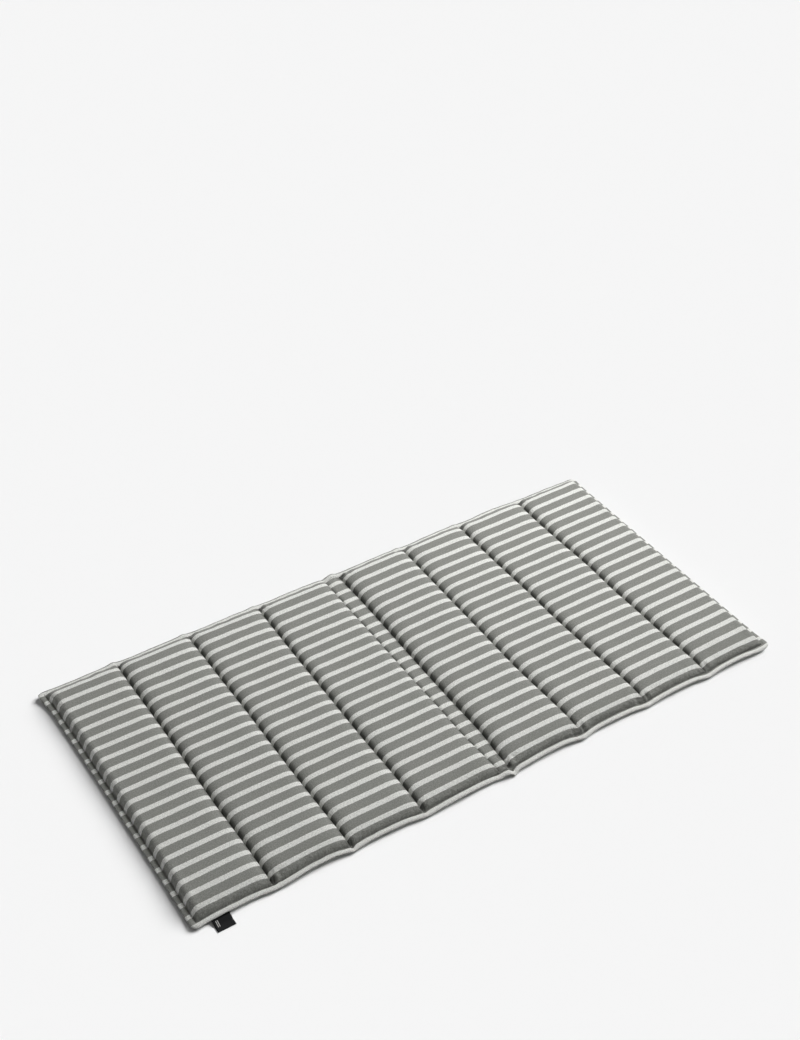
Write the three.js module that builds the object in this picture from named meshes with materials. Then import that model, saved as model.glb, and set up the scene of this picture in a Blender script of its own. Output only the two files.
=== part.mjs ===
// A quilted pad for the seat and back of a lounge chair, lying face up on a flat surface. Two cloth panels
// are filled, sewn through across their width into eight channels with a flat hinge strip between the seat
// half and the back half, and topstitched round the rim, which makes a narrow corded edge. A woven label is
// sewn in under the front rim. Millimetres, +Z up, the origin on the surface under the middle of it all.
import * as THREE from 'three';

// Size of the whole pad from corner to corner
const LENGTH = 1062;
const WIDTH = 533;
const CORNER_RADIUS = 13;

// Flat strip where the pad folds between seat and back: its width, its height in the middle, and how far the
// rim rises off the surface there
const HINGE_WIDTH = 28;
const HINGE_HEIGHT = 11.2;
const HINGE_RIM_LIFT = 3;

// Filled channels from the left end: the height of the crown, how much higher the crown is at the right
// side of the channel than at the left, and how far the rim rises off the surface between its seams
const CHANNELS = [
  { crown: 22.3, lean: -0.6, rimLift: 2.4 },
  { crown: 22.8, lean: -0.6, rimLift: 2.8 },
  { crown: 21.7, lean: -1.4, rimLift: 2.2 },
  { crown: 21.5, lean: 0.2, rimLift: 2.6 },
  { crown: 23.2, lean: 2.2, rimLift: 2.6 },
  { crown: 22.9, lean: -0.6, rimLift: 2.2 },
  { crown: 22.4, lean: 0.4, rimLift: 2.6 },
  { crown: 23.4, lean: 1.4, rimLift: 2.8 },
];

// Quilting seams: the height of their middle, half the cloth and filling squeezed there, and the distance
// over which the cloth rounds up to the crown
const SEAM_HEIGHT = 6.8;
const SEAM_HALF = 1.7;
const SEAM_ROUND = 27;

// Corded rim outside the topstitching: width, half thickness, the half thickness at the stitching, the
// height of its middle at a seam's end, how far the filling draws a long side in between two seams and a
// short side in between its corners, and how round those arches are
const RIM_WIDTH = 8;
const RIM_HALF = 2.8;
const STITCH_HALF = 1.4;
const RIM_HEIGHT = 6.2;
const LONG_SIDE_DRAW = 3;
const SHORT_SIDE_DRAW = 2.5;
const ARCH_ROUNDNESS = 0.8;

// Side walls: the distance from the topstitching over which they round up to the crown, and how far in from
// the rim its waves die out
const SIDE_ROUND = 18;
const WAVE_REACH = 42;

// How much sooner than the top the underside is flat
const UNDERSIDE_GAIN = 1.3;

// Lines of points, as distances in from the edge, from the topstitching and from a quilting seam
const RIM_STOPS = [0, 1.1, 4, 6.9];
const SIDE_STOPS = [0, 2, 5.5, 11, 18];
const SEAM_STOPS = [0, 3, 8, 16, 27];
const HINGE_STOPS = [0, 5];
const CHANNEL_MIDDLE_STOPS = [0];
const HINGE_MIDDLE_STOPS = [-5, 0, 5];
const WIDTH_MIDDLE_STOPS = [-150, -50, 50, 150];

// Woven label: its width, its reach past the rim, its thickness, the distance of its left side from the
// pad's left end, how far its root is tucked in under the rim, what share of that runs level, and the height
// of the root
const LABEL_WIDTH = 28;
const LABEL_REACH = 17;
const LABEL_THICKNESS = 1.4;
const LABEL_FROM_END = 30;
const LABEL_TUCK = 8;
const LABEL_LEVEL_SHARE = 0.75;
const LABEL_ROOT_HEIGHT = 3.4;

const RIM_AND_SIDE_STOPS = [...RIM_STOPS, ...SIDE_STOPS.map((stop) => RIM_WIDTH + stop)];
const CHANNEL_WIDTH = (LENGTH - HINGE_WIDTH) / CHANNELS.length;
const CHANNELS_PER_HALF = CHANNELS.length / 2;

// The pad's sections from left to right, with the hinge strip in the middle
function layOutSections() {
  const hinge = { width: HINGE_WIDTH, crown: HINGE_HEIGHT, lean: 0, rimLift: HINGE_RIM_LIFT, hinge: true };
  const channels = CHANNELS.map((row) => ({ width: CHANNEL_WIDTH, hinge: false, ...row }));
  const sections = [...channels.slice(0, CHANNELS_PER_HALF), hinge, ...channels.slice(CHANNELS_PER_HALF)];
  let left = -LENGTH / 2;
  for (const section of sections) {
    section.left = left;
    section.right = left + section.width;
    left = section.right;
  }
  return sections;
}

const SECTIONS = layOutSections();

function sectionAt(x) {
  return SECTIONS.find((section) => x <= section.right + 1e-6) ?? SECTIONS[SECTIONS.length - 1];
}

// A quarter ellipse from 0 at a seam to 1 at the given distance from it
function roundUp(distance, reach) {
  const t = 1 - THREE.MathUtils.clamp(distance / reach, 0, 1);
  return Math.sqrt(1 - t * t);
}

// 0 at both ends of a span and 1 in its middle
function arch(share) {
  return Math.sin(Math.PI * THREE.MathUtils.clamp(share, 0, 1)) ** ARCH_ROUNDNESS;
}

function archAlong(x) {
  const section = sectionAt(x);
  return arch((x - section.left) / section.width);
}

// Distance in from the outline, which is a rectangle with rounded corners
function insetAt(x, y) {
  const qx = Math.abs(x) - (LENGTH / 2 - CORNER_RADIUS);
  const qy = Math.abs(y) - (WIDTH / 2 - CORNER_RADIUS);
  const outside = Math.hypot(Math.max(qx, 0), Math.max(qy, 0));
  return CORNER_RADIUS - outside - Math.min(Math.max(qx, qy), 0);
}

// Distance from the nearest quilting seam. The two ends of the pad aren't quilting seams.
function seamDistance(x) {
  const inner = SECTIONS.slice(1).map((section) => Math.abs(x - section.left));
  return Math.min(...inner);
}

// Height of the middle of the rim, which rises between the seams
function rimHeight(x) {
  return RIM_HEIGHT + sectionAt(x).rimLift * archAlong(x);
}

// Heights of the top and the underside at a point that is the given distance in from the edge
function heightsAt(x, inset) {
  if (inset <= RIM_WIDTH) {
    const t = THREE.MathUtils.clamp((2 * inset) / RIM_WIDTH - 1, -1, 1);
    const bead = RIM_HALF * Math.sqrt(1 - t * t);
    const half = t > 0 ? Math.max(bead, STITCH_HALF) : bead;
    return { top: rimHeight(x) + half, bottom: rimHeight(x) - half };
  }
  const section = sectionAt(x);
  const inner = inset - RIM_WIDTH;
  const share = THREE.MathUtils.smoothstep(inner, 0, WAVE_REACH);
  const middle = THREE.MathUtils.lerp(rimHeight(x), SEAM_HEIGHT, share);
  const half = THREE.MathUtils.lerp(STITCH_HALF, SEAM_HALF, share);
  const seamRound = section.hinge ? HINGE_WIDTH / 2 : SEAM_ROUND;
  const rise = roundUp(inner, SIDE_ROUND) * roundUp(seamDistance(x), seamRound);
  const across = (x - (section.left + section.right) / 2) / section.width;
  const crown = section.crown + section.lean * across;
  const sag = section.hinge ? 0 : Math.min(1, UNDERSIDE_GAIN * rise);
  return {
    top: THREE.MathUtils.lerp(middle + half, crown, rise),
    bottom: THREE.MathUtils.lerp(middle - half, 0, sag),
  };
}

// Places from low to high: some counted up from low, some from the middle, and some back from high
function stopsBetween(low, high, lowStops, highStops, middleStops) {
  return [
    ...lowStops.map((stop) => low + stop),
    ...middleStops.map((stop) => (low + high) / 2 + stop),
    ...highStops.map((stop) => high - stop).reverse(),
  ];
}

// Lines of points along the length: the rim at both ends, then every section between its seams
function linesAlongLength() {
  const lines = [];
  SECTIONS.forEach((section, index) => {
    const first = index === 0;
    const last = index === SECTIONS.length - 1;
    const seamStops = section.hinge ? HINGE_STOPS : SEAM_STOPS;
    const middleStops = section.hinge ? HINGE_MIDDLE_STOPS : CHANNEL_MIDDLE_STOPS;
    const leftStops = first ? RIM_AND_SIDE_STOPS : seamStops;
    const rightStops = last ? RIM_AND_SIDE_STOPS : seamStops;
    const stops = stopsBetween(section.left, section.right, leftStops, rightStops, middleStops);
    lines.push(...(first ? stops : stops.slice(1)));
  });
  return lines;
}

function linesAcrossWidth() {
  return stopsBetween(-WIDTH / 2, WIDTH / 2, RIM_AND_SIDE_STOPS, RIM_AND_SIDE_STOPS, WIDTH_MIDDLE_STOPS);
}

// Bends the square corner of the net of points onto the rounded corner of the outline
function roundCorner(x, y) {
  const a = Math.max(0, (Math.abs(x) - (LENGTH / 2 - CORNER_RADIUS)) / CORNER_RADIUS);
  const b = Math.max(0, (Math.abs(y) - (WIDTH / 2 - CORNER_RADIUS)) / CORNER_RADIUS);
  const pullX = CORNER_RADIUS * a * (1 - Math.sqrt(1 - (b * b) / 2));
  const pullY = CORNER_RADIUS * b * (1 - Math.sqrt(1 - (a * a) / 2));
  return [x - Math.sign(x) * pullX, y - Math.sign(y) * pullY];
}

// The filling draws the short sides in between the corners, and the long sides in between the seams
function drawIn(x, y) {
  const nearShortSide = 1 - THREE.MathUtils.smoothstep(LENGTH / 2 - Math.abs(x), 0, WAVE_REACH);
  const nearLongSide = 1 - THREE.MathUtils.smoothstep(WIDTH / 2 - Math.abs(y), 0, WAVE_REACH);
  const drawX = SHORT_SIDE_DRAW * arch(y / WIDTH + 0.5) * nearShortSide;
  const drawY = LONG_SIDE_DRAW * archAlong(x) * nearLongSide;
  return [x - Math.sign(x) * drawX, y - Math.sign(y) * drawY];
}

// The points of the top and of the underside, in rows across the width, which share the points of the edge
function netPoints(columns, rows) {
  const positions = [];
  const top = [];
  const bottom = [];
  rows.forEach((y, j) => {
    columns.forEach((x, i) => {
      const [cornerX, cornerY] = roundCorner(x, y);
      const inset = insetAt(cornerX, cornerY);
      const heights = heightsAt(cornerX, inset);
      const [drawnX, drawnY] = drawIn(cornerX, cornerY);
      const onEdge = i === 0 || j === 0 || i === columns.length - 1 || j === rows.length - 1;
      top.push(positions.length / 3);
      positions.push(drawnX, drawnY, onEdge ? rimHeight(cornerX) : heights.top);
      bottom.push(onEdge ? top[top.length - 1] : positions.length / 3);
      if (!onEdge) positions.push(drawnX, drawnY, heights.bottom);
    });
  });
  return { positions, top, bottom };
}

// Two triangles for one square of a net. The diagonals lean so that one of them ends at each rounded corner.
function squareFaces(net, corners, leaning, flipped) {
  const [p, q, r, s] = (leaning ? corners : [...corners.slice(1), corners[0]]).map((k) => net[k]);
  return flipped ? [r, q, p, s, r, p] : [p, q, r, p, r, s];
}

function netFaces(columns, rows, { top, bottom }) {
  const faces = [];
  for (let j = 0; j < rows.length - 1; j += 1) {
    for (let i = 0; i < columns.length - 1; i += 1) {
      const first = j * columns.length + i;
      const corners = [first, first + 1, first + columns.length + 1, first + columns.length];
      const leaning = (columns[i] + columns[i + 1] < 0) === (rows[j] + rows[j + 1] < 0);
      faces.push(...squareFaces(top, corners, leaning, false));
      faces.push(...squareFaces(bottom, corners, leaning, true));
    }
  }
  return faces;
}

function padGeometry() {
  const columns = linesAlongLength();
  const rows = linesAcrossWidth();
  const net = netPoints(columns, rows);
  const geometry = new THREE.BufferGeometry();
  geometry.setAttribute('position', new THREE.Float32BufferAttribute(net.positions, 3));
  geometry.setIndex(netFaces(columns, rows, net));
  geometry.computeVertexNormals();
  return geometry;
}

// The label's side view: a folded tape that comes out from under the rim, bends down and lies on the surface.
// The extrusion runs along the pad's front edge.
function labelGeometry() {
  const reach = LABEL_TUCK + LABEL_REACH - LABEL_THICKNESS / 2;
  const level = LABEL_TUCK * LABEL_LEVEL_SHARE;
  const landing = reach - level;
  const side = new THREE.Shape();
  side.moveTo(0, LABEL_ROOT_HEIGHT);
  side.bezierCurveTo(level, LABEL_ROOT_HEIGHT, landing - level, 0, landing, 0);
  side.lineTo(reach, 0);
  side.absarc(reach, LABEL_THICKNESS / 2, LABEL_THICKNESS / 2, -Math.PI / 2, Math.PI / 2, false);
  side.lineTo(landing, LABEL_THICKNESS);
  side.bezierCurveTo(
    landing - level, LABEL_THICKNESS, level, LABEL_ROOT_HEIGHT + LABEL_THICKNESS,
    0, LABEL_ROOT_HEIGHT + LABEL_THICKNESS,
  );
  side.closePath();
  return new THREE.ExtrudeGeometry(side, { depth: LABEL_WIDTH, bevelEnabled: false, curveSegments: 8 });
}

const stripedCloth = new THREE.MeshStandardMaterial({ color: 0x8f908a, roughness: 0.9, metalness: 0 });
const wovenTape = new THREE.MeshStandardMaterial({ color: 0x161819, roughness: 0.7, metalness: 0 });

const pad = new THREE.Mesh(padGeometry(), stripedCloth);
pad.name = 'quilted_pad';

const label = new THREE.Mesh(labelGeometry(), wovenTape);
label.name = 'woven_label';
label.rotation.set(Math.PI / 2, 0, -Math.PI / 2, 'ZYX');
label.position.set(-LENGTH / 2 + LABEL_FROM_END + LABEL_WIDTH, -WIDTH / 2 + LABEL_TUCK, 0);

const cushion = new THREE.Group();
cushion.add(pad, label);
cushion.position.y = LABEL_REACH / 2;
export default cushion;
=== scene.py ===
# %% [markdown]
# A striped, quilted cushion for the seat and back of a lounge chair.
# The real one is two panels of striped canvas with wadding between them. It is sewn through across its
# width, so that the wadding lies in eight flat pillows, with a narrow strip in the middle where the cushion
# folds. Its edge is turned and topstitched, which leaves a soft corded rim.
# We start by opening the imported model, because it says where the cushion lies and how large it is. Each
# piece that we make takes its place from there.

# %% Open the frame
import math

import bpy
import numpy as np
from mathutils import Matrix, Vector
from mathutils.bvhtree import BVHTree


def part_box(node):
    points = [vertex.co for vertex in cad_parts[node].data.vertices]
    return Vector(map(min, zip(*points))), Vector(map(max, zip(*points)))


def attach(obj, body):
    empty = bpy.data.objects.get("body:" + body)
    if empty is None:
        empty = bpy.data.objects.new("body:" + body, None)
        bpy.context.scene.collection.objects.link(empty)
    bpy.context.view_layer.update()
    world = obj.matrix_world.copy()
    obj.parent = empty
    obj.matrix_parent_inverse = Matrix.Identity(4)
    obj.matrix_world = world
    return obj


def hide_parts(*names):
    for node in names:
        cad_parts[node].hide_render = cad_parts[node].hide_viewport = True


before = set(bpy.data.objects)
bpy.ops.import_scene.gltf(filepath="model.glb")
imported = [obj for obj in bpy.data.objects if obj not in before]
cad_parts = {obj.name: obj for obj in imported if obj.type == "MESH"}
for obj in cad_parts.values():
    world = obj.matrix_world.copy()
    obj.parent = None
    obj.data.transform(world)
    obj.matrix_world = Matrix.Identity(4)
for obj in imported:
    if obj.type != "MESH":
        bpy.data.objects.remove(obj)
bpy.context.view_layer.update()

MM = 0.001
pad_low, pad_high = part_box("quilted_pad")
PAD_LENGTH = (pad_high.x - pad_low.x) / MM
PAD_WIDTH = (pad_high.y - pad_low.y) / MM
PAD_MIDDLE = np.array([(pad_low.x + pad_high.x) / 2, (pad_low.y + pad_high.y) / 2, 0.0])
print(f"pad {PAD_LENGTH:.0f} x {PAD_WIDTH:.0f} mm, middle at {PAD_MIDDLE}")

# %% [markdown]
# Three small helpers serve the whole file. The first reads a table whose columns are named once, at its top.
# The second blends between two values, and the third makes a piece from its points and faces.

# %% Helpers


def table(columns, *rows):
    """The rows of a table, each as a record with its values under the columns' names."""
    return [dict(zip(columns.split(), row)) for row in rows]


def mix(start, end, share):
    """The value that lies a share of the way from start to end."""
    return start + (end - start) * share


def new_piece(name, points, faces):
    """A piece with smooth shading, in the scene."""
    mesh = bpy.data.meshes.new(name)
    mesh.from_pydata(points, [], faces)
    mesh.shade_smooth()
    piece = bpy.data.objects.new(name, mesh)
    bpy.context.scene.collection.objects.link(piece)
    return piece


print("helpers ready")

# %% [markdown]
# The camera stands in front of the cushion's left corner, a little over two metres away, and looks down. We
# could aim it with a constraint at a target, but a photo also has a small roll, so we build the camera's
# own axes from three angles and write them into its matrix.

# %% Camera
CAMERA_FROM_PAD = Vector((-1.0317, -1.5228, 1.8086))
CAMERA_TURN = math.radians(-33.38)
CAMERA_DOWN = math.radians(39.05)
CAMERA_ROLL = math.radians(0.96)
CAMERA_LENS_MM = 54.96


def add_camera():
    """The scene's camera, at the photo's viewing angle."""
    level_right = Vector((math.cos(CAMERA_TURN), math.sin(CAMERA_TURN), 0))
    ahead = Vector((-math.sin(CAMERA_TURN), math.cos(CAMERA_TURN), 0)) * math.cos(CAMERA_DOWN)
    ahead.z = -math.sin(CAMERA_DOWN)
    level_up = level_right.cross(ahead)
    right = level_right * math.cos(CAMERA_ROLL) + level_up * math.sin(CAMERA_ROLL)
    up = right.cross(ahead)
    data = bpy.data.cameras.new("camera")
    data.lens = CAMERA_LENS_MM
    camera = bpy.data.objects.new("camera", data)
    axes = Matrix((right, up, -ahead)).transposed()
    camera.matrix_world = Matrix.Translation(CAMERA_FROM_PAD + Vector(PAD_MIDDLE)) @ axes.to_4x4()
    bpy.context.scene.collection.objects.link(camera)
    bpy.context.scene.camera = camera
    return camera


camera = add_camera()
print(f"camera at {tuple(round(x, 3) for x in camera.matrix_world.translation)}")

# %% [markdown]
# Two tables hold what a maker would write on the cutting list. The first has the sewn lines that cross the
# cushion. A hand-guided seam never runs quite straight, so each line has its place at eight stations, from
# the near side to the far side. The second has one row for each pillow between two lines: how high its
# wadding stands, how much higher its right side is than its left, how far the rim lifts off the table
# beside it, and over what distance its near, left and right sides round up.

# %% Cutting list
STATIONS = [0.0, 0.18, 0.32, 0.455, 0.59, 0.73, 0.865, 1.0]
SEAM_LINES = np.array([
    [-PAD_LENGTH / 2] * len(STATIONS),
    [-400.4, -400.2, -401.7, -400.9, -399.9, -400.1, -401.3, -400.2],
    [-272.7, -274.3, -274.6, -273.7, -272.5, -273.3, -272.8, -273.4],
    [-149.0, -148.3, -148.9, -147.8, -147.2, -146.3, -144.0, -141.6],
    [-9.5, -15.2, -13.3, -14.1, -14.3, -14.3, -13.9, -12.9],
    [5.8, 14.4, 14.2, 14.5, 15.1, 16.3, 17.0, 15.0],
    [145.9, 143.4, 141.0, 142.1, 142.6, 143.2, 144.5, 144.7],
    [274.3, 270.2, 267.8, 265.2, 266.3, 265.2, 265.0, 266.5],
    [399.1, 394.9, 395.4, 393.5, 395.9, 394.4, 394.2, 396.5],
    [PAD_LENGTH / 2] * len(STATIONS),
])
PILLOWS = table(
    "crown lean near_lift far_lift near_round left_round right_round",
    (22.3, -0.6, 2.2, 2.4, 42, 18, 23),
    (22.8, -0.6, 2.8, 2.6, 39, 24, 24),
    (21.7, -1.4, 2.4, 2.2, 46, 24, 25),
    (21.5, 0.2, 2.6, 2.4, 43, 20, 19),
    (11.2, 0.0, 0.5, 0.5, 36, 12, 12),
    (23.2, 2.2, 2.6, 2.8, 46, 34, 26),
    (22.9, -0.6, 2.2, 2.4, 48, 27, 26),
    (22.4, 0.4, 2.6, 3.0, 54, 19, 26),
    (23.4, 1.4, 3.2, 2.6, 58, 19, 18),
)
HINGE = 4


def column_of(name):
    """One column of the pillows' table."""
    return np.array([pillow[name] for pillow in PILLOWS])


print(f"{len(PILLOWS)} sections between {len(SEAM_LINES)} lines")

# %% [markdown]
# Cloth that is held down along a seam and filled from below rounds up in a quarter ellipse: steep at the
# seam and level on top. That one curve, used for the side walls and in a fuller form for every channel,
# gives the whole relief. Where two seams meet, the curves are multiplied, which makes the soft corners of
# each pillow.

# %% Relief of the cloth
CORNER_RADIUS = 12.0
RIM_WIDTH = 9.0
RIM_HALF = 2.3
STITCH_HALF = 0.6
RIM_HEIGHT = 4.8
BEAD_SHAPE = 3
BEAD_ROUNDNESS = 0.6
RISE_START = 2.5
SEAM_HEIGHT = 3.0
SEAM_HALF = 1.0
CHANNEL_FULLNESS = 2.9
CHANNEL_REACH_GAIN = 1.15
LEFT_ROUND = 14.0
RIGHT_ROUND = 15.0
FAR_ROUND = 24.0
WAVE_REACH = 42.0
LEFT_DRAW = 2.5
RIGHT_DRAW = 0.6
LEFT_LIFT = -0.9
RIGHT_LIFT = 1.2
UNDERSIDE_GAIN = 1.3


def smooth(value):
    """An S-shaped step from 0 to 1."""
    t = np.clip(value, 0, 1)
    return t * t * (3 - 2 * t)


def round_up(distance, reach, fullness=2.0):
    """From 0 at a seam to 1 at reach: a quarter ellipse, and steeper at the seam with more fullness."""
    t = 1 - np.clip(distance / reach, 0, 1)
    return (1 - t ** fullness) ** (1 / fullness)


def arch(share, roundness=0.8):
    """0 at both ends of a span and 1 in its middle."""
    return np.sin(np.pi * np.clip(share, 0, 1)) ** roundness


def softened(values, reach):
    """A row of evenly spaced values, averaged over reach neighbours on each side."""
    weights = np.hanning(2 * reach + 3)[1:-1]
    padded = np.pad(values, reach, mode="edge")
    return np.convolve(padded, weights / weights.sum(), mode="valid")


TABLE_MARGIN = 20
TABLE_Y = np.arange(-PAD_WIDTH / 2 - TABLE_MARGIN, PAD_WIDTH / 2 + TABLE_MARGIN + 1, 1.0)
SEAM_END = {"near": TABLE_MARGIN, "far": -TABLE_MARGIN - 1}
STATION_Y = (np.array(STATIONS) - 0.5) * PAD_WIDTH
SEAM_SOFTENING = 30
SEAM_TABLE = np.array([softened(np.interp(TABLE_Y, STATION_Y, line), SEAM_SOFTENING) for line in SEAM_LINES])


def seams_at(y):
    """The x of every sewn line at each y, as one row for each line."""
    return np.array([np.interp(y, TABLE_Y, line) for line in SEAM_TABLE])


def section_of(x, y):
    """Which section each point is in, with the distances to that section's left and right lines."""
    lines = seams_at(y)
    section = (np.asarray(x)[None, :] > lines[1:-1]).sum(axis=0)
    picked = np.arange(len(section))
    return section, x - lines[section, picked], lines[section + 1, picked] - x


def inset_of(x, y):
    """Distance in from the outline, a rectangle with rounded corners."""
    qx = np.abs(x) - (PAD_LENGTH / 2 - CORNER_RADIUS)
    qy = np.abs(y) - (PAD_WIDTH / 2 - CORNER_RADIUS)
    outside = np.hypot(np.maximum(qx, 0), np.maximum(qy, 0))
    return CORNER_RADIUS - outside - np.minimum(np.maximum(qx, qy), 0)


print(f"a seam wanders up to {np.ptp(SEAM_TABLE, axis=1).max():.1f} mm")

# %% [markdown]
# The rim is the part of a cushion where the sewing shows most. Between two seams the wadding lifts it and
# draws it in, and at each seam's end it comes down to the table again. Beside the hinge strip it buckles,
# because the strip has no wadding to stretch it. The outline has a row for each section: how far the rim
# stands out from a straight edge at its left seam, and at a fifth, a half and four fifths of the way to
# the next one. A short table of bumps adds the buckles: where each is, how wide, how far up, how far out.
# Another pulls the corners up and out, where the two turned edges bunch up.

# %% Rim
OUTLINE_SHARES = [0.0, 0.2, 0.5, 0.8]
NEAR_OUTLINE = [
    [0.0, -2.3, -2.7, -3.1],
    [-0.3, -0.7, -4.2, -4.2],
    [-0.5, -3.0, -3.0, -2.2],
    [1.8, 0.8, -0.3, -2.1],
    [-1.0, -0.5, 0.5, 1.5],
    [1.5, -0.8, -3.4, -3.4],
    [1.3, -3.4, -3.8, -3.0],
    [0.8, -1.4, -2.0, -1.9],
    [2.2, -0.5, -1.0, 0.6],
]
FAR_OUTLINE = [
    [0.0, -0.8, -1.6, 1.0],
    [3.0, -0.4, -0.6, 1.4],
    [3.0, 0.0, 0.2, 1.6],
    [2.8, -0.2, 0.2, 1.4],
    [1.6, 1.6, 1.8, 1.6],
    [1.8, 0.0, 0.0, 2.2],
    [2.6, 0.4, 1.6, 3.4],
    [3.6, 0.8, 2.4, 2.8],
    [2.6, 0.0, -0.6, -0.6],
]
RIM_BUMPS = table(
    "side x spread up out",
    ("near", 0.0, 7.0, 2.8, 0.8),
    ("near", 11.5, 4.0, -3.0, 3.4),
    ("near", -14.0, 6.0, -0.6, 0.5),
    ("near", 26.0, 8.0, 1.0, 0.0),
    ("near", -300.0, 22.0, 1.4, 0.0),
    ("near", 110.0, 24.0, 0.8, 0.0),
    ("near", -271.0, 4.0, -1.0, 0.8),
    ("near", 146.0, 5.0, -0.6, 0.4),
    ("near", 274.0, 5.0, -0.5, 0.3),
    ("near", 400.0, 6.0, -0.6, 0.3),
    ("near", 505.0, 14.0, -0.8, 0.6),
    ("far", -12.0, 4.0, -2.0, 0.4),
    ("far", 5.0, 7.0, 3.8, 0.8),
    ("far", -406.0, 6.0, 2.6, 0.4),
    ("far", -279.0, 6.0, 2.2, 0.4),
    ("far", -148.0, 6.0, 1.8, 0.2),
    ("far", 139.0, 7.0, 1.6, 0.2),
    ("far", 261.0, 7.0, 1.6, 0.2),
)
CORNER_PULLS = table(
    "x y reach up out_x out_y",
    (-1, 1, 24.0, 2.2, 6.0, 0.5),
    (1, -1, 22.0, 1.6, 2.0, 0.6),
    (1, 1, 22.0, 1.0, 1.5, 0.0),
)
RIM_ARCH = 1.3
SHORT_SIDE_ARCH = 0.5
OUTLINE_SOFTENING = 9
SIDE_SIGN = {"near": -1, "far": 1}


def outline_table(side, rows):
    """Places along the edge, and how far the rim stands out at each, smooth along the edge."""
    seam_x = SEAM_TABLE[:, SEAM_END[side]]
    places = [mix(seam_x[k], seam_x[k + 1], share) for k in range(len(rows)) for share in OUTLINE_SHARES]
    stands = [out for row in rows for out in row]
    even = np.arange(-PAD_LENGTH / 2, PAD_LENGTH / 2 + 1, 1.0)
    stands_at = np.interp(even, places + [PAD_LENGTH / 2], stands + [0.0])
    return even, softened(stands_at, OUTLINE_SOFTENING)


NEAR_TABLE = outline_table("near", NEAR_OUTLINE)
FAR_TABLE = outline_table("far", FAR_OUTLINE)


def bump_sum(x, y, way):
    """The rim's bumps at each point, upward or outward."""
    total = np.zeros_like(x)
    for bump in RIM_BUMPS:
        side = SIDE_SIGN[bump["side"]]
        near_rim = smooth((side * y - PAD_WIDTH / 2 + WAVE_REACH) / WAVE_REACH)
        total += bump[way] * np.exp(-(((x - bump["x"]) / bump["spread"]) ** 2)) * near_rim
    return total


def corner_sum(x, y, way):
    """What the corners add at each point, where the two turned edges bunch up."""
    total = np.zeros_like(x)
    for pull in CORNER_PULLS:
        away = np.hypot(x - pull["x"] * PAD_LENGTH / 2, y - pull["y"] * PAD_WIDTH / 2)
        total += pull[way] * np.exp(-((away / pull["reach"]) ** 2))
    return total


def rim_height(x, y):
    """Height of the middle of the rim above the table."""
    section, left, right = section_of(x, y)
    lift = mix(column_of("near_lift")[section], column_of("far_lift")[section], y / PAD_WIDTH + 0.5)
    short_rim = smooth((np.abs(x) - PAD_LENGTH / 2 + WAVE_REACH) / WAVE_REACH)
    short_lift = np.where(x < 0, LEFT_LIFT, RIGHT_LIFT) * short_rim
    short_lift = short_lift * arch(y / PAD_WIDTH + 0.5, SHORT_SIDE_ARCH)
    level = RIM_HEIGHT + short_lift + lift * arch(left / (left + right), RIM_ARCH)
    return level + bump_sum(x, y, "up") + corner_sum(x, y, "up")


def draw_in(x, y):
    """Moves points of the plan: the wadding draws the sides in between the corners and between the seams."""
    near_short = 1 - smooth((PAD_LENGTH / 2 - np.abs(x)) / WAVE_REACH)
    near_long = 1 - smooth((PAD_WIDTH / 2 - np.abs(y)) / WAVE_REACH)
    draw_x = np.where(x < 0, LEFT_DRAW, RIGHT_DRAW) * arch(y / PAD_WIDTH + 0.5) * near_short
    draw_x = draw_x - corner_sum(x, y, "out_x")
    stands_out = np.where(y < 0, np.interp(x, *NEAR_TABLE), np.interp(x, *FAR_TABLE))
    stands_out = stands_out * near_long + bump_sum(x, y, "out") + corner_sum(x, y, "out_y")
    return x - np.sign(x) * draw_x, y + np.sign(y) * stands_out


def relief(x, y, inset):
    """Heights of the top and of the underside."""
    section, left, right = section_of(x, y)
    rim = rim_height(x, y)
    across_rim = np.clip(2 * inset / RIM_WIDTH - 1, -1, 1)
    bead = RIM_HALF * (1 - np.abs(across_rim) ** BEAD_SHAPE) ** BEAD_ROUNDNESS
    bead = np.where(across_rim > 0, np.maximum(bead, STITCH_HALF), bead)

    inner = inset - RIM_WIDTH
    share = smooth(inner / WAVE_REACH)
    middle = mix(rim, SEAM_HEIGHT, share)
    half = mix(STITCH_HALF, SEAM_HALF, share)
    hinge = section == HINGE
    left_rise = round_up(left, CHANNEL_REACH_GAIN * column_of("left_round")[section], CHANNEL_FULLNESS)
    right_rise = round_up(right, CHANNEL_REACH_GAIN * column_of("right_round")[section], CHANNEL_FULLNESS)
    left_rise = np.where(section == 0, 1.0, left_rise)
    right_rise = np.where(section == len(PILLOWS) - 1, 1.0, right_rise)
    half_x = PAD_LENGTH / 2 - RIM_WIDTH
    half_y = PAD_WIDTH / 2 - RIM_WIDTH
    near_round = column_of("near_round")[section]
    rise = left_rise * right_rise * smooth(inner / RISE_START)
    for from_wall, reach in ((half_x + x, LEFT_ROUND), (half_x - x, RIGHT_ROUND),
                             (half_y + y, near_round), (half_y - y, FAR_ROUND)):
        rise = rise * round_up(from_wall, reach)
    crown = column_of("crown")[section] + column_of("lean")[section] * (left / (left + right) - 0.5)
    sag = np.where(hinge, 0.0, np.minimum(1.0, UNDERSIDE_GAIN * rise))
    top = mix(middle + half, crown, rise)
    bottom = mix(middle - half, 0.0, sag)
    on_rim = inset <= RIM_WIDTH
    return np.where(on_rim, rim + bead, top), np.where(on_rim, rim - bead, bottom)


print(f"{len(RIM_BUMPS)} bumps on the rim")

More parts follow.
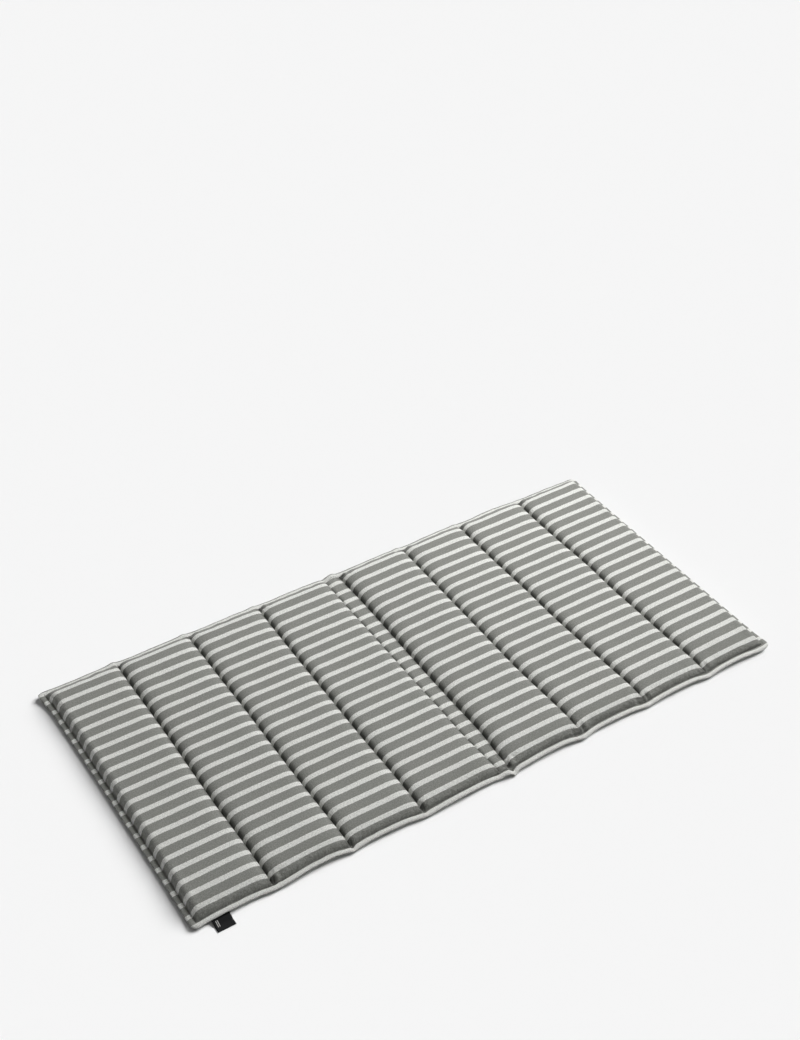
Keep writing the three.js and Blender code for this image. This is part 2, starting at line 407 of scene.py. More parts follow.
# %% [markdown]
# Now the cloth's net. We could start from a cube and subdivide it, or remesh a rough shape, but a net whose
# lines are given one by one has them exactly where the seams run, so that they stay crisp, and it knows
# where every thread of the cloth goes, which the stripes need later. Lines lie close together beside a seam
# and far apart on the level tops. The top and the underside share the points of the outer edge, so the mesh
# is one closed body.

# %% The cloth's net
RIM_STOPS = [0.0, 0.8, 2.4, 4.6, 6.8, 8.2]
SIDE_STOPS = [0.0, 1.5, 4.0, 8.0, 13.0, 19.0, 27.0]
END_STOPS = RIM_STOPS + [RIM_WIDTH + s for s in SIDE_STOPS]
SEAM_STOPS = [0.0, 0.9, 2.4, 4.8, 8.5, 13.5, 20.0, 27.5, 36.0]
HINGE_STOPS = [0.0, 0.9, 2.6, 5.2, 9.0]
MIDDLE_STEP = 12.0


def spread(low, high, low_stops, high_stops, step):
    """Places from low to high: close together at both ends and evenly spaced between them."""
    start = low + low_stops[-1]
    end = high - high_stops[-1]
    count = max(1, round((end - start) / step))
    between = [mix(start, end, k / count) for k in range(1, count)]
    return [low + s for s in low_stops] + between + [high - s for s in reversed(high_stops)]


def lines_along():
    """The net's lines along the length, each as a section and its share of the way through it."""
    lines = []
    for section in range(len(PILLOWS)):
        width = np.mean(SEAM_LINES[section + 1] - SEAM_LINES[section])
        stops = HINGE_STOPS if section == HINGE else SEAM_STOPS
        low_stops = END_STOPS if section == 0 else stops
        high_stops = END_STOPS if section == len(PILLOWS) - 1 else stops
        places = spread(0.0, width, low_stops, high_stops, MIDDLE_STEP)
        lines += [(section, place / width) for place in places[0 if section == 0 else 1:]]
    return lines


def round_corner(x, y):
    """Bends the net's square corners onto the rounded corners of the outline."""
    a = np.maximum(0, (np.abs(x) - (PAD_LENGTH / 2 - CORNER_RADIUS)) / CORNER_RADIUS)
    b = np.maximum(0, (np.abs(y) - (PAD_WIDTH / 2 - CORNER_RADIUS)) / CORNER_RADIUS)
    pull_x = CORNER_RADIUS * a * (1 - np.sqrt(1 - b * b / 2))
    pull_y = CORNER_RADIUS * b * (1 - np.sqrt(1 - a * a / 2))
    return x - np.sign(x) * pull_x, y - np.sign(y) * pull_y


LINES = lines_along()
ROWS = np.array(spread(-PAD_WIDTH / 2, PAD_WIDTH / 2, END_STOPS, END_STOPS, MIDDLE_STEP))
NX, NY = len(LINES), len(ROWS)
row_of, line_of = [a.ravel() for a in np.meshgrid(np.arange(NY), np.arange(NX), indexing="ij")]
net_y = ROWS[row_of]
net_lines = seams_at(net_y)
net_section = np.array([line[0] for line in LINES])[line_of]
net_share = np.array([line[1] for line in LINES])[line_of]
picked = np.arange(len(net_y))
net_x = mix(net_lines[net_section, picked], net_lines[net_section + 1, picked], net_share)
print(f"net of {NX} by {NY} lines")

# %% [markdown]
# The stripes are woven into the cloth, so they follow it over the rim and down the side walls. Each corner
# of each face therefore gets the place on the flat cloth that it was cut from, in metres, as a UV map.
# Beyond the level top the cloth climbs, so there it is longer than the plan shows. The panel was sewn on a
# little toward the near side, and the quilting pulled it a bit more in some pillows than in others, so a
# small table of drift, for each pillow at its near third, its middle and its far third, goes in as well.
# The bottom panel is cut half a repeat further on, and a thin grey line of it shows under the white rim.

# %% Places on the flat cloth
STRIPE_REPEAT = 24.2
LEVEL_EDGE = 242.0
WALL_CLIMB = 5.0
RIM_CLIMB = 1.5
BOTTOM_SHIFT = STRIPE_REPEAT / 2
DRIFT_Y = [-150.0, 0.0, 150.0]
CLOTH_DRIFT = np.array([
    [-2.4, -1.7, -1.6],
    [-1.5, -1.8, -1.9],
    [-2.2, -2.0, -1.7],
    [-2.3, -2.0, -1.8],
    [-2.2, -1.8, -2.4],
    [-2.8, -1.5, -1.9],
    [-3.2, -1.9, -2.1],
    [-3.1, -2.1, -2.1],
    [-3.7, -1.8, -2.1],
])


def drift_at(x, y):
    """How far the stripes lie from their even places, smooth from pillow to pillow."""
    middles = (SEAM_LINES[1:, 3] + SEAM_LINES[:-1, 3]) / 2
    rows = np.array([np.interp(x, middles, column) for column in CLOTH_DRIFT.T])
    share = np.clip((y - DRIFT_Y[0]) / (DRIFT_Y[-1] - DRIFT_Y[0]), 0, 1) * 2
    lower = mix(rows[0], rows[1], smooth(share))
    upper = mix(rows[1], rows[2], smooth(share - 1))
    return np.where(share < 1, lower, upper)


def on_flat_cloth(x, y, bottom):
    """Where each point of the net lies on the flat cloth."""
    edge = PAD_WIDTH / 2
    climbs = [0, WALL_CLIMB, WALL_CLIMB + RIM_CLIMB]
    climb = np.interp(np.abs(y), [LEVEL_EDGE, edge - RIM_WIDTH, edge], climbs)
    across = y - drift_at(x, y) + np.sign(y) * climb
    return np.stack([x, across + (BOTTOM_SHIFT if bottom else 0.0)], axis=1)


def cushion_points():
    """The points of the top, then those of the underside, in millimetres from the pad's middle."""
    plan_x, plan_y = round_corner(net_x, net_y)
    inset = inset_of(plan_x, plan_y)
    top, bottom = relief(plan_x, plan_y, inset)
    drawn_x, drawn_y = draw_in(plan_x, plan_y)
    edge = rim_height(plan_x, plan_y)
    on_edge = (row_of == 0) | (row_of == NY - 1) | (line_of == 0) | (line_of == NX - 1)
    top = np.where(on_edge, edge, top)
    upper = np.stack([drawn_x, drawn_y, top], axis=1)
    lower = np.stack([drawn_x, drawn_y, bottom], axis=1)[~on_edge]
    lower_index = np.arange(len(upper))
    lower_index[~on_edge] = len(upper) + np.arange(len(lower))
    return np.concatenate([upper, lower]), lower_index


def net_faces(index, flipped):
    """The net's squares, as four points each."""
    first = (np.arange(NY - 1)[:, None] * NX + np.arange(NX - 1)[None, :]).ravel()
    squares = np.stack([first, first + 1, first + NX + 1, first + NX], axis=1)
    return index[squares[:, ::-1] if flipped else squares], squares[:, ::-1] if flipped else squares


def mark_seams(mesh, index):
    """Keeps the sewn lines and the rim's topstitching sharp when the mesh is subdivided."""
    is_seam = np.isin(np.arange(NX), [i for i, line in enumerate(LINES) if line[1] in (0.0, 1.0)])
    is_seam[[0, NX - 1]] = False
    stitch = len(RIM_STOPS)
    inside_rows = (row_of >= stitch) & (row_of <= NY - 1 - stitch)
    inside_lines = (line_of >= stitch) & (line_of <= NX - 1 - stitch)
    ring_rows = np.isin(row_of, [stitch, NY - 1 - stitch]) & inside_lines
    ring_lines = np.isin(line_of, [stitch, NX - 1 - stitch]) & inside_rows
    marks = np.zeros((3, len(mesh.vertices)), int)
    for side in (np.arange(len(row_of)), index):
        marks[0, side] = np.where(is_seam[line_of] & inside_rows, line_of + 1, 0)
        marks[1, side] = np.where(ring_rows, row_of + 1, 0)
        marks[2, side] = np.where(ring_lines, line_of + 1, 0)
    ends = np.zeros(len(mesh.edges) * 2, int)
    mesh.edges.foreach_get("vertices", ends)
    ends = ends.reshape(-1, 2)
    sharp = np.zeros(len(ends), bool)
    for mark in marks:
        sharp |= (mark[ends[:, 0]] > 0) & (mark[ends[:, 0]] == mark[ends[:, 1]])
    crease = mesh.attributes.new("crease_edge", "FLOAT", "EDGE")
    crease.data.foreach_set("value", sharp.astype(np.float32))
    return int(sharp.sum())


def sew_cushion():
    """The cushion's mesh, with the flat cloth's places on it."""
    points, lower_index = cushion_points()
    upper_faces, upper_net = net_faces(np.arange(NX * NY), False)
    lower_faces, lower_net = net_faces(lower_index, True)
    faces = np.concatenate([upper_faces, lower_faces])
    cushion = new_piece("striped_cushion", (points * MM + PAD_MIDDLE).tolist(), faces.tolist())
    places = np.concatenate([
        on_flat_cloth(net_x, net_y, False)[upper_net.ravel()],
        on_flat_cloth(net_x, net_y, True)[lower_net.ravel()],
    ])
    layer = cushion.data.uv_layers.new(name="cloth")
    layer.uv.foreach_set("vector", (places * MM).astype(np.float32).ravel())
    print(f"{mark_seams(cushion.data, lower_index)} sewn edges kept sharp")
    return cushion


cushion = sew_cushion()
print(f"cushion mesh: {len(cushion.data.vertices)} points, {len(cushion.data.polygons)} faces")

# %% [markdown]
# One subdivision turns the net's flat squares into cloth that curves. It is applied at once, because the
# small tucks of the next step are too fine for the first net.

# %% Subdivide


def apply_modifiers(piece):
    """Bakes a piece's modifiers into its mesh."""
    depsgraph = bpy.context.evaluated_depsgraph_get()
    shaped = bpy.data.meshes.new_from_object(piece.evaluated_get(depsgraph))
    old = piece.data
    piece.modifiers.clear()
    piece.data = shaped
    shaped.name = old.name
    bpy.data.meshes.remove(old)


subdivide = cushion.modifiers.new("subdivide", "SUBSURF")
subdivide.levels = 1
subdivide.render_levels = 1
apply_modifiers(cushion)
print(f"after subdividing: {len(cushion.data.polygons)} faces")

# %% [markdown]
# Where a seam runs out at the rim, the cloth has nowhere to go, and it gathers into small tucks: a pit
# beside the seam, a short ridge, sometimes a shallow dent after it. We could paint these as shading, but
# they should catch the light from every side, so we push the points in or out along the cloth's normal.
# Each kind of gather is a short list of soft spots, and a table says which seam's end has which kind.
# The topstitching also puckers the cloth beside the rim, and the channels of the real cushion look darker
# than lamps alone make them here. So each point gets one number for how deep in a fold it lies and one for
# how puckered it is, and the cloth's material reads both later. The first is painted shade: it darkens the
# cloth's colour in the channels and the tuck pits.

# %% Tucks at the seam ends
GATHERS = {
    "one_sided": table(
        "x in wide long depth",
        (3.0, 4.5, 2.6, 4.0, 2.2),
        (9.5, 5.0, 2.8, 6.0, -1.1),
        (17.0, 9.0, 5.0, 5.0, 1.3),
        (6.0, 15.0, 3.5, 7.0, 0.9),
        (-8.0, 8.0, 5.0, 6.0, 0.5),
    ),
    "paired": table(
        "x in wide long depth",
        (-11.0, 4.5, 5.0, 6.0, 1.7),
        (-4.5, 6.0, 2.4, 6.0, 0.8),
        (0.0, 5.0, 2.2, 7.0, -1.6),
        (6.0, 5.0, 2.6, 5.0, 1.8),
        (12.0, 6.0, 3.0, 6.0, -0.7),
        (26.0, 9.0, 6.0, 5.0, 0.7),
    ),
    "run_out": table(
        "x in wide long depth",
        (2.5, 2.5, 2.6, 6.0, 1.8),
        (12.0, 7.0, 4.0, 6.0, -0.5),
        (-12.0, 6.0, 5.0, 6.0, 0.5),
    ),
}
SEAM_ENDS = table(
    "seam side kind amount",
    (1, "near", "one_sided", 1.0),
    (2, "near", "run_out", 1.0),
    (3, "near", "run_out", 0.9),
    (5, "near", "one_sided", 1.0),
    (6, "near", "paired", 1.0),
    (7, "near", "paired", 0.9),
    (8, "near", "paired", 0.55),
    (1, "far", "run_out", 0.8),
    (2, "far", "paired", 0.6),
    (3, "far", "one_sided", 0.7),
    (5, "far", "one_sided", 0.8),
    (6, "far", "paired", 0.7),
    (7, "far", "run_out", 0.8),
    (8, "far", "one_sided", 0.6),
)
HINGE_SPOTS = table(
    "side x in wide long depth",
    ("near", 0.0, 14.0, 9.0, 12.0, -2.6),
    ("near", -11.0, 5.0, 1.6, 7.0, -0.8),
    ("near", -6.5, 4.0, 2.2, 5.0, 1.0),
    ("near", 4.0, 5.0, 3.0, 8.0, -0.9),
    ("far", 2.0, 12.0, 8.0, 10.0, -1.6),
    ("far", -8.0, 5.0, 2.5, 6.0, 1.2),
)
TUCK_DEPTH = 2.0
LONG_SIDE_DRAW = 1.0
FOLD_REACH = 8.0
FOLD_START = 3
FOLD_PUSH = 3.5
FOLD_IN_TUCK = 0.7
WADDING_WAVES = 28
WADDING_SEED = 11
BODY_SWELL = 0.34
SWELL_LENGTHS = (45, 150)
SWELL_START = 20
BODY_RIPPLE = 0.10
BODY_RIPPLE_LENGTHS = (14, 34)
RIM_RIPPLE = 0.16
RIM_RIPPLE_LENGTHS = (12, 40)
RIPPLE_REACH = 14
PUCKER_DEPTH = 0.4
PUCKER_LENGTHS = (15, 34)
PUCKER_SLANT = 0.3
PUCKER_START = 2
PUCKER_HOLD = 8
PUCKER_FADE = 14
CHANNEL_PUCKER = 0.5
UNDERSIDE_SLOPE = -0.2
UNDERSIDE_SHARE = 0.25
OFF_TABLE = 0.5
WANDER = 0.5
WANDER_LENGTHS = (160, 420)
WANDER_WAVES = 12
WANDER_REACH = 40


def soft_spots():
    """Every tuck as a place on the pad and a depth."""
    spots = []
    for end in SEAM_ENDS:
        seam_x = SEAM_TABLE[end["seam"], SEAM_END[end["side"]]]
        for spot in GATHERS[end["kind"]]:
            spots.append((seam_x + spot["x"], SIDE_SIGN[end["side"]], spot["in"], spot["wide"], spot["long"],
                          spot["depth"] * end["amount"] * TUCK_DEPTH))
    for spot in HINGE_SPOTS:
        side = SIDE_SIGN[spot["side"]]
        spots.append((spot["x"], side, spot["in"], spot["wide"], spot["long"], spot["depth"]))
    return spots


def uneven(x, y, seed, lengths, count=WADDING_WAVES):
    """Smooth random unevenness of about -1 to 1, as a sum of plane waves."""
    rng = np.random.default_rng(seed)
    total = np.zeros_like(x)
    for _ in range(count):
        length = rng.uniform(*lengths)
        turn = rng.uniform(0, 2 * np.pi)
        run = x * np.cos(turn) + y * np.sin(turn)
        total += np.cos(2 * np.pi / length * run + rng.uniform(0, 2 * np.pi))
    return total / np.sqrt(count)


def tuck_cloth(piece):
    """Pushes the cloth in or out along its normals, and rests what would go below the table on it."""
    mesh = piece.data
    points = np.zeros(len(mesh.vertices) * 3)
    normals = np.zeros(len(mesh.vertices) * 3)
    mesh.vertices.foreach_get("co", points)
    mesh.vertices.foreach_get("normal", normals)
    points = points.reshape(-1, 3)
    normals = normals.reshape(-1, 3)
    local = (points - PAD_MIDDLE) / MM
    x, y, z = local.T
    on_top = normals[:, 2] > UNDERSIDE_SLOPE
    push = np.zeros(len(x))
    for spot_x, side, inward, wide, long, depth in soft_spots():
        from_side = PAD_WIDTH / 2 - LONG_SIDE_DRAW - RIM_WIDTH - side * y
        push -= depth * np.exp(-(((x - spot_x) / wide) ** 2) - ((from_side - inward) / long) ** 2)
    inset = inset_of(np.clip(x, -PAD_LENGTH / 2, PAD_LENGTH / 2), np.clip(y, -PAD_WIDTH / 2, PAD_WIDTH / 2))
    section, left, right = section_of(x, y)
    seam_near = np.minimum(left, right)
    inner = inset - RIM_WIDTH
    body = smooth(inner / SWELL_START) * smooth(seam_near / RIPPLE_REACH)
    push += BODY_SWELL * body * uneven(x, y, WADDING_SEED, SWELL_LENGTHS)
    push += BODY_RIPPLE * body * uneven(x, y, WADDING_SEED + 1, BODY_RIPPLE_LENGTHS)
    at_rim = 1 - smooth(inset / RIPPLE_REACH)
    push += RIM_RIPPLE * at_rim * uneven(x, y, WADDING_SEED + 2, RIM_RIPPLE_LENGTHS)
    by_rim = smooth(inner / PUCKER_START) * (1 - smooth((inner - PUCKER_HOLD) / PUCKER_FADE))
    push += PUCKER_DEPTH * by_rim * uneven(x, PUCKER_SLANT * y, WADDING_SEED + 4, PUCKER_LENGTHS)
    push = np.where(on_top, push, UNDERSIDE_SHARE * push * (z > OFF_TABLE))
    in_channel = 1 - smooth(seam_near / FOLD_REACH)
    in_channel = np.where((section == 0) & (left < right), 0.0, in_channel)
    in_channel = np.where((section == len(PILLOWS) - 1) & (right < left), 0.0, in_channel)
    # This number is painted shade: the cloth's colour darkens with it in the channels and the tuck pits.
    painted_fold_shade = in_channel * smooth(inner / FOLD_START) + FOLD_IN_TUCK * smooth(-push / FOLD_PUSH)
    for name, value in (("puckered", by_rim + CHANNEL_PUCKER * in_channel), ("painted_fold_shade", painted_fold_shade)):
        attribute = mesh.attributes.new(name, "FLOAT", "POINT")
        attribute.data.foreach_set("value", np.minimum(1.0, value).astype(np.float32))
    moved = local + normals * push[:, None]
    moved[:, 2] = np.maximum(moved[:, 2], 0.0)
    wander = WANDER * uneven(x, y, WADDING_SEED + 3, WANDER_LENGTHS, WANDER_WAVES)
    moved[:, 0] += wander * smooth(inset / WANDER_REACH)
    mesh.vertices.foreach_set("co", (moved * MM + PAD_MIDDLE).ravel())
    mesh.update()
    return push


push = tuck_cloth(cushion)
print(f"{len(soft_spots())} soft spots; cloth moved {push.min():.1f} to {push.max():.1f} mm")

# %% [markdown]
# The cloth is a plain weave of spun yarn: warm grey, with off-white stripes a little over a third of each
# repeat wide. A picture of the cloth would do for one view, but a procedural material stays sharp at any
# distance. A small helper adds nodes and joins them, so that each step below stays one line.

# %% Helpers for materials


class Nodes:
    """Adds nodes to a material and links them."""

    def __init__(self, name):
        self.material = bpy.data.materials.new(name)
        self.material.use_nodes = True
        self.tree = self.material.node_tree
        self.shader = self.tree.nodes["Principled BSDF"]

    def put(self, socket, value):
        """Links a socket to another, or sets a plain value."""
        if isinstance(value, bpy.types.NodeSocket):
            self.tree.links.new(value, socket)
        else:
            socket.default_value = value

    def add(self, kind, output, inputs=(), **settings):
        """A new node's output. Its inputs are picked by name or number."""
        node = self.tree.nodes.new(kind)
        for name, value in settings.items():
            setattr(node, name, value)
        for key, value in dict(inputs).items():
            self.put(node.inputs[key], value)
        return node.outputs[output]

    def math(self, operation, *values):
        return self.add("ShaderNodeMath", 0, enumerate(values), operation=operation)

    def noise(self, vector, scale, detail=2.0):
        return self.add("ShaderNodeTexNoise", "Fac", {"Vector": vector, "Scale": scale, "Detail": detail})

    def wave(self, place, pitch):
        """A sine that is zero at every pitch."""
        return self.math("SINE", self.math("MULTIPLY", place, math.pi / pitch))

    def flat_places(self, uv_map):
        """The places on the flat cloth: as one vector, then each way in millimetres."""
        flat = self.add("ShaderNodeUVMap", "UV", uv_map=uv_map)
        split = self.add("ShaderNodeSeparateXYZ", 0, {0: flat}).node
        return flat, *[self.math("MULTIPLY", split.outputs[k], 1 / MM) for k in (0, 1)]

    def blend(self, share, first, second, blend_type="MIX"):
        inputs = {0: share, 6: first, 7: second}
        return self.add("ShaderNodeMix", 2, inputs, data_type="RGBA", blend_type=blend_type)

    def step(self, value, low, high):
        """0 below low and 1 above high, smooth between."""
        inputs = {"Value": value, "From Min": low, "From Max": high}
        return self.add("ShaderNodeMapRange", "Result", inputs, interpolation_type="SMOOTHSTEP")

    def bump(self, height, distance, strength=1.0, normal=None):
        inputs = {"Height": height, "Distance": distance, "Strength": strength}
        if normal is not None:
            inputs["Normal"] = normal
        return self.add("ShaderNodeBump", "Normal", inputs)

    def shade(self, **values):
        for name, value in values.items():
            self.put(self.shader.inputs[name.replace("_", " ")], value)
        return self.material


print("material helpers ready")

# %% [markdown]
# The weave is two sets of ridges, one for each way of the yarn, that show in turn like a chessboard. Real
# spun yarn is thicker in places, so a stretched noise along each yarn changes its tone a little, and a
# coarser noise gives the slight mottle that the eye sees from a step away. The stripe's edge falls between
# two yarns, so it is sharp, with only a trace of raggedness. In the channels and the tuck pits the colour is
# darkened toward near-black as painted shade.

# %% Striped canvas
GREY_YARN = (0.281, 0.285, 0.262, 1.0)
WHITE_YARN = (0.820, 0.822, 0.785, 1.0)
# Painted shade for the channels and tuck pits: the near-black that the colour darkens toward, and how far on
# grey and on white.
PAINTED_SHADE_COLOUR = (0.045, 0.045, 0.040, 1.0)
GREY_PAINTED_SHADE = 0.62
WHITE_PAINTED_SHADE = 0.22
STRIPE_HALF = 4.35
EDGE_HALF = 0.22
RAGGED_SCALE = 700.0
RAGGED_EDGE = 2.2
SLUB_LONG = 90.0
SLUB_THIN = 1100.0
SLUB_DEPTH = 0.14
MOTTLE_SCALE = 520.0
MOTTLE_DEPTH = 1.15
FADED_SCALE = 9.0
FADED_DEPTH = 0.06
YARN_PITCH = 0.9
OVER_BLUR = 0.15
YARN_MOTTLE = 0.9
YARN_RELIEF = 0.00022
SOFT_SCALE = 110.0
SOFT_RELIEF = 0.0005
PUCKER_SCALE = 170.0
PUCKER_RELIEF = 0.0022


def striped_canvas():
    """The cushion's cloth."""
    n = Nodes("striped_canvas")
    cloth, along, across = n.flat_places("cloth")
    ragged = n.math("SUBTRACT", n.noise(cloth, RAGGED_SCALE), 0.5)
    shifted = n.math("ADD", across, n.math("MULTIPLY", ragged, RAGGED_EDGE))
    from_stripe = n.math("PINGPONG", shifted, STRIPE_REPEAT / 2)
    grey_share = n.step(from_stripe, STRIPE_HALF - EDGE_HALF, STRIPE_HALF + EDGE_HALF)

    slubs = 0.0
    for scale in ((SLUB_LONG, SLUB_THIN, 1.0), (SLUB_THIN, SLUB_LONG, 1.0)):
        mapped = n.add("ShaderNodeMapping", 0, {"Vector": cloth, "Scale": scale})
        slubs = n.math("ADD", slubs, n.noise(mapped, 1.0))
    mottle = n.noise(cloth, MOTTLE_SCALE, 3.0)
    faded = n.noise(cloth, FADED_SCALE)
    tone = n.math("ADD", n.math("MULTIPLY", slubs, SLUB_DEPTH), 1 - SLUB_DEPTH)
    for spots, depth in ((mottle, MOTTLE_DEPTH), (faded, FADED_DEPTH)):
        tone = n.math("ADD", tone, n.math("MULTIPLY", n.math("SUBTRACT", spots, 0.5), depth))
    dyed = n.blend(grey_share, WHITE_YARN, GREY_YARN)
    tone_colour = n.add("ShaderNodeCombineColor", 0, {0: tone, 1: tone, 2: tone})
    colour = n.blend(1.0, dyed, tone_colour, "MULTIPLY")
    # Painted shade: in the channels and the tuck pits the colour darkens toward near-black, more on grey
    # than on white.
    painted_fold_shade = n.add("ShaderNodeAttribute", "Fac", attribute_name="painted_fold_shade")
    painted_shade_share = n.math("ADD", WHITE_PAINTED_SHADE, n.math("MULTIPLY", grey_share, GREY_PAINTED_SHADE - WHITE_PAINTED_SHADE))
    colour = n.blend(n.math("MULTIPLY", painted_fold_shade, painted_shade_share), colour, PAINTED_SHADE_COLOUR)

    warp = n.math("ABSOLUTE", n.wave(along, YARN_PITCH))
    weft = n.math("ABSOLUTE", n.wave(across, YARN_PITCH))
    chess = n.math("MULTIPLY", n.wave(along, 2 * YARN_PITCH), n.wave(across, 2 * YARN_PITCH))
    over = n.step(chess, -OVER_BLUR, OVER_BLUR)
    ridges = n.math("ADD", n.math("MULTIPLY", warp, over),
                    n.math("MULTIPLY", weft, n.math("SUBTRACT", 1.0, over)))
    rough_yarn = n.math("ADD", ridges, n.math("MULTIPLY", mottle, YARN_MOTTLE))
    fine = n.bump(rough_yarn, YARN_RELIEF, 0.9)
    soft = n.bump(n.noise(cloth, SOFT_SCALE), SOFT_RELIEF, 0.5, fine)
    puckered = n.add("ShaderNodeAttribute", "Fac", attribute_name="puckered")
    soft = n.bump(n.math("MULTIPLY", puckered, n.noise(cloth, PUCKER_SCALE)), PUCKER_RELIEF, 1.0, soft)
    return n.shade(Base_Color=colour, Normal=soft, Roughness=0.92, Sheen_Weight=0.18, Sheen_Roughness=0.5,
                   Specular_IOR_Level=0.25)


canvas = striped_canvas()
cushion.data.materials.clear()
cushion.data.materials.append(canvas)
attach(cushion, "root")
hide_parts("quilted_pad")
print(f"{canvas.name}: {len(canvas.node_tree.nodes)} nodes")

# %% [markdown]
# A grey thread holds it all together: one row of stitches in each channel and one all round, beside the
# corded rim. From a step away the thread can't be seen, but it is what a close look finds first. Each stitch
# is a short bowed tube with both ends pulled in. It is laid on the cloth at four places, and in a channel
# each place is the lowest that a few rays find side by side, because a stitch lies deep in its groove.

# %% Stitches
STITCH_PITCH = 4.4
PLACES_PER_STITCH = 4
THREAD_RADIUS = 0.32
STITCH_DIP = 0.35
STITCH_SHOULDER = 0.7
STITCH_SIDES = 6
ROW_END_GAP = 2.0
GROOVE_REACH = 0.8
ABOVE_CLOTH = 0.1
THREAD_GREY = (0.30, 0.30, 0.28, 1.0)
THREAD_DARK = (0.24, 0.24, 0.224, 1.0)
THREAD_SCALE = 1800.0
THREAD_RELIEF = 0.00008


def place_on_cloth(tree, x, y, reach):
    """The lowest place on the cloth within reach to the left and right."""
    lowest = None
    for offset in (-reach, -reach / 2, 0.0, reach / 2, reach):
        place = Vector(((x + offset) * MM, y * MM, ABOVE_CLOTH)) + Vector(PAD_MIDDLE)
        hit = tree.ray_cast(place, Vector((0, 0, -1)))[0]
        if hit is not None and (lowest is None or hit.z < lowest.z):
            lowest = hit
    return lowest


def channel_rows():
    """The rows of stitches in the channels, as places in millimetres."""
    end = PAD_WIDTH / 2 - RIM_WIDTH - ROW_END_GAP
    y = np.arange(-end, end, STITCH_PITCH / PLACES_PER_STITCH)
    return [np.stack([line, y], axis=1) for line in seams_at(y)[1:-1]]


def rim_row():
    """The row of stitches all round, just inside the rim."""
    half_x = PAD_LENGTH / 2 - RIM_WIDTH
    half_y = PAD_WIDTH / 2 - RIM_WIDTH
    corners = np.array([(-half_x, -half_y), (half_x, -half_y), (half_x, half_y), (-half_x, half_y)])
    sides = []
    for start, end in zip(corners, np.roll(corners, -1, axis=0)):
        run = np.arange(0, np.abs(end - start).max(), STITCH_PITCH / PLACES_PER_STITCH)
        sides.append(start + np.outer(run, np.sign(end - start)))
    path = np.concatenate(sides)
    return np.stack(draw_in(path[:, 0], path[:, 1]), axis=1)


def stitch_places(tree, row, reach):
    """For each stitch of a row, its start, middle and end on the cloth."""
    for k in range(0, len(row) - PLACES_PER_STITCH, PLACES_PER_STITCH):
        found = [place_on_cloth(tree, *row[k + j], reach) for j in range(PLACES_PER_STITCH)]
        if all(place is not None for place in found):
            yield found[0], (found[1] + found[2]) / 2, found[3]


def add_stitch(start, middle, end, points, faces):
    """One bowed tube from start to end."""
    sideways = (end - start).cross(Vector((0, 0, 1))).normalized()
    first = len(points)
    shoulder = THREAD_RADIUS * STITCH_SHOULDER
    bows = [-STITCH_DIP, shoulder, THREAD_RADIUS, shoulder, -STITCH_DIP]
    for k, bow in enumerate(bows):
        t = k / (len(bows) - 1)
        on_cloth = start * (1 - t) ** 2 + middle * 2 * t * (1 - t) + end * t ** 2
        for side in range(STITCH_SIDES):
            angle = 2 * math.pi * side / STITCH_SIDES
            ring = sideways * math.cos(angle) + Vector((0, 0, 1)) * math.sin(angle)
            points.append(on_cloth + Vector((0, 0, bow * MM)) + ring * THREAD_RADIUS * MM)
    for k in range(len(bows) - 1):
        for side in range(STITCH_SIDES):
            a = first + k * STITCH_SIDES + side
            b = first + k * STITCH_SIDES + (side + 1) % STITCH_SIDES
            faces.append((a, b, b + STITCH_SIDES, a + STITCH_SIDES))
    faces.append(tuple(range(first + STITCH_SIDES - 1, first - 1, -1)))
    last = first + (len(bows) - 1) * STITCH_SIDES
    faces.append(tuple(range(last, last + STITCH_SIDES)))


def sew_stitches():
    """All the stitches of the top as one piece."""
    mesh = cushion.data
    tree = BVHTree.FromPolygons([v.co for v in mesh.vertices], [p.vertices for p in mesh.polygons])
    points, faces = [], []
    rows = [(row, GROOVE_REACH) for row in channel_rows()] + [(rim_row(), 0.0)]
    for row, reach in rows:
        for start, middle, end in stitch_places(tree, row, reach):
            add_stitch(start, middle, end, points, faces)
    return new_piece("seam_stitches", [tuple(p) for p in points], faces)


def grey_thread():
    """The sewing thread, a little uneven in tone and surface."""
    n = Nodes("grey_thread")
    fibre = n.noise(n.add("ShaderNodeTexCoord", "Object"), THREAD_SCALE, 1.0)
    colour = n.blend(fibre, THREAD_DARK, THREAD_GREY)
    return n.shade(Base_Color=colour, Normal=n.bump(fibre, THREAD_RELIEF), Roughness=0.7, Sheen_Weight=0.15)


stitches = sew_stitches()
stitches.data.materials.append(grey_thread())
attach(stitches, "root")
print(f"{len(stitches.data.polygons)} faces of stitches")

# %% [markdown]
# The label is a strip of black woven tape, folded once and caught in the rim's seam, so that it hangs down
# to the table. A flat card would look like paper, so we lay a strip along a path that runs out, bends down,
# turns back on itself and returns below, and give it a real thickness.

# %% Label
label_low, label_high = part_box("woven_label")
TAPE_THICKNESS = 0.45
LAYER_GAP = 0.12
LABEL_LEVEL = 5.5
LABEL_DROP_END = 17.0
LABEL_ROOT_HEIGHT = 3.9
LABEL_CURL = 0.5
LABEL_STEPS_ALONG = 40
LABEL_STEPS_ACROSS = 14
FOLD_STEPS = 9


def label_height(reach, root_height):
    """Height of the label's middle, from its root under the rim to its tip on the table."""
    resting = TAPE_THICKNESS + LAYER_GAP / 2
    return mix(root_height, resting, smooth((reach - LABEL_LEVEL) / (LABEL_DROP_END - LABEL_LEVEL)))


